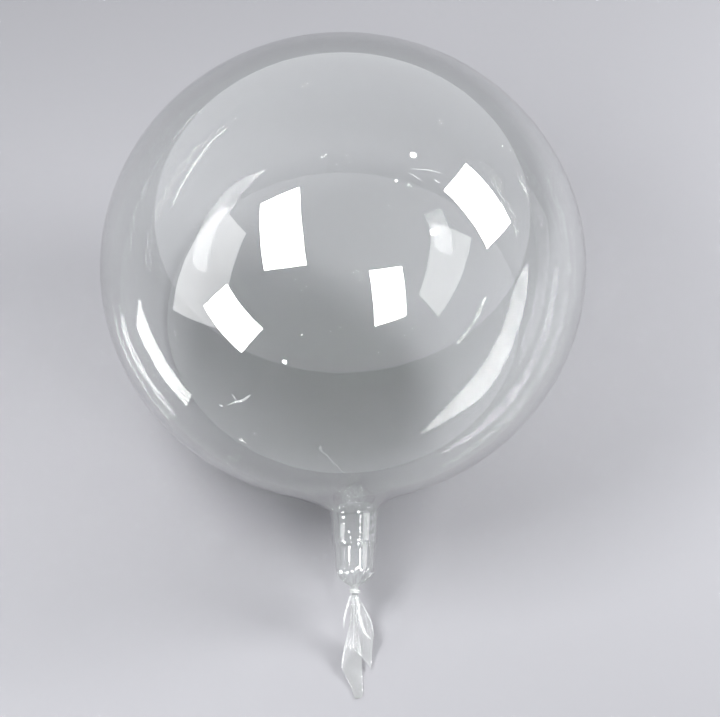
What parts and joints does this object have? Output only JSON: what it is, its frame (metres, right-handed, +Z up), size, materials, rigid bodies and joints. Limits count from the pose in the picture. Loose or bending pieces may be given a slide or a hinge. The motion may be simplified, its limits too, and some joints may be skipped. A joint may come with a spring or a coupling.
{
  "type": "clear bubble balloon",
  "caption": "Blown-up clear film bubble balloon with a short tubular neck, drawn into pleats and tied shut, its crumpled film tail lying on the floor.",
  "frame": {"origin": "centre of the small flat spot that the bubble rests on", "axes": "+Z up, -Y towards the neck and the tail, +X towards the side of the bubble's middle that the neck sits on"},
  "size_m": [0.4998, 0.6133, 0.4927],
  "materials": {
    "film": "glossy clear film",
    "tie": "clear stretched band"
  },
  "bodies": {
    "root": {"balloon": "film", "tie": "tie"}
  },
  "joints": []
}
